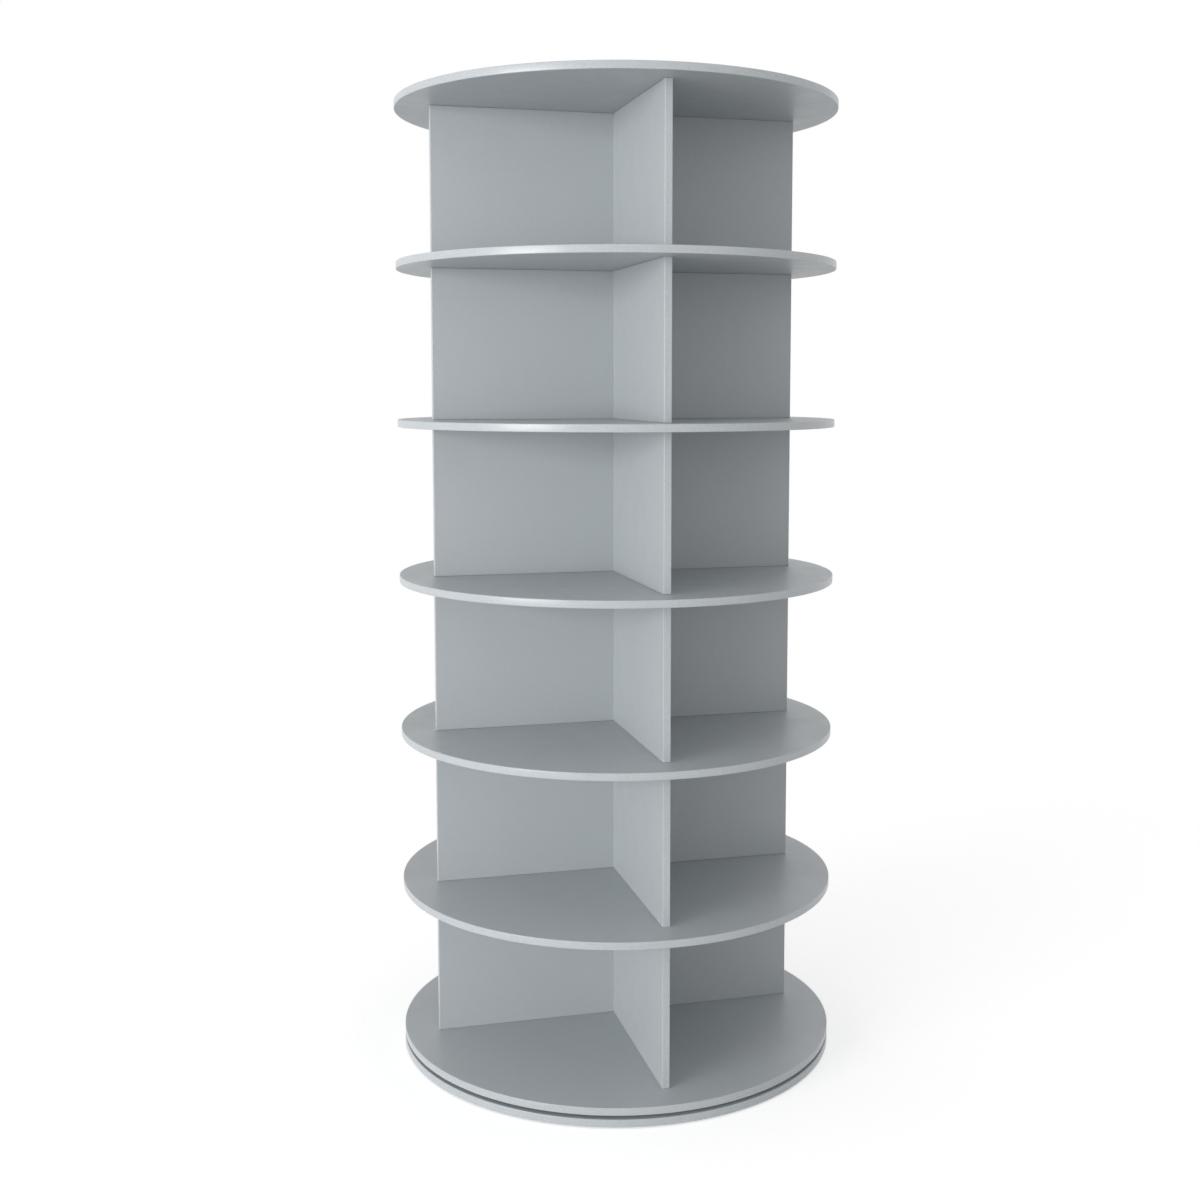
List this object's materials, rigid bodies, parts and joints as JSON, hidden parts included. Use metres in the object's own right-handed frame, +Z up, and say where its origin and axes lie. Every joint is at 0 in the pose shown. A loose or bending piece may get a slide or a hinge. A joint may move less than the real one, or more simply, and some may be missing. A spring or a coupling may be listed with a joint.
{
  "type": "rotating shoe tower",
  "caption": "Tall round shoe tower: thin discs on crossed dividers form open tiers that turn together on a ring bearing over a fixed round base.",
  "frame": {"origin": "centre of the floor face, under the turning axis", "axes": "+Z up along the turning axis, X along the long dividers, Y along the cross dividers, with -Y towards the pictured side (the camera stands about 15 degrees to the -X side of -Y)"},
  "size_m": [0.6, 0.6, 1.299],
  "materials": {
    "laminate": "pale blue-grey satin melamine laminate with matching edge band",
    "aluminium": "satin extruded aluminium",
    "nylon": "natural white moulded nylon, with the steel balls held in it",
    "beech": "plain turned beech",
    "rubber": "matt black rubber"
  },
  "bodies": {
    "base": {"foot_pad_1": "rubber", "foot_pad_2": "rubber", "foot_pad_3": "rubber", "foot_pad_4": "rubber", "base_disc": "laminate", "bearing_outer_ring": "aluminium"},
    "tower": {"bearing_inner_ring": "aluminium", "bottom_shelf": "laminate", "shelf_2": "laminate", "shelf_3": "laminate", "shelf_4": "laminate", "shelf_5": "laminate", "shelf_6": "laminate", "top_disc": "laminate", "tier_1_long_divider": "laminate", "tier_1_cross_divider": "laminate", "tier_2_long_divider": "laminate", "tier_2_cross_divider": "laminate", "tier_3_long_divider": "laminate", "tier_3_cross_divider": "laminate", "tier_4_long_divider": "laminate", "tier_4_cross_divider": "laminate", "tier_5_long_divider": "laminate", "tier_5_cross_divider": "laminate", "tier_6_long_divider": "laminate", "tier_6_cross_divider": "laminate", "dowel_level_1_1": "beech", "dowel_level_1_2": "beech", "dowel_level_1_3": "beech", "dowel_level_1_4": "beech", "dowel_level_2_1": "beech", "dowel_level_2_2": "beech", "dowel_level_2_3": "beech", "dowel_level_2_4": "beech", "dowel_level_3_1": "beech", "dowel_level_3_2": "beech", "dowel_level_3_3": "beech", "dowel_level_3_4": "beech", "dowel_level_4_1": "beech", "dowel_level_4_2": "beech", "dowel_level_4_3": "beech", "dowel_level_4_4": "beech", "dowel_level_5_1": "beech", "dowel_level_5_2": "beech", "dowel_level_5_3": "beech", "dowel_level_5_4": "beech", "dowel_level_6_1": "beech", "dowel_level_6_2": "beech", "dowel_level_6_3": "beech", "dowel_level_6_4": "beech", "dowel_level_7_1": "beech", "dowel_level_7_2": "beech", "dowel_level_7_3": "beech", "dowel_level_7_4": "beech"},
    "cage": {"ball_cage": "nylon"}
  },
  "joints": [
    {"name": "tower_spin", "type": "hinge", "parent": "base", "child": "tower", "pos_m": [0, 0, 0.0145], "axis": [0, 0, 1], "continuous": true},
    {"name": "cage_roll", "type": "hinge", "parent": "base", "child": "cage", "pos_m": [0, 0, 0.0145], "axis": [0, 0, 1], "continuous": true}
  ],
  "couplings": [
    {"joint": "cage_roll", "follows": "tower_spin", "ratio": 0.4923}
  ]
}
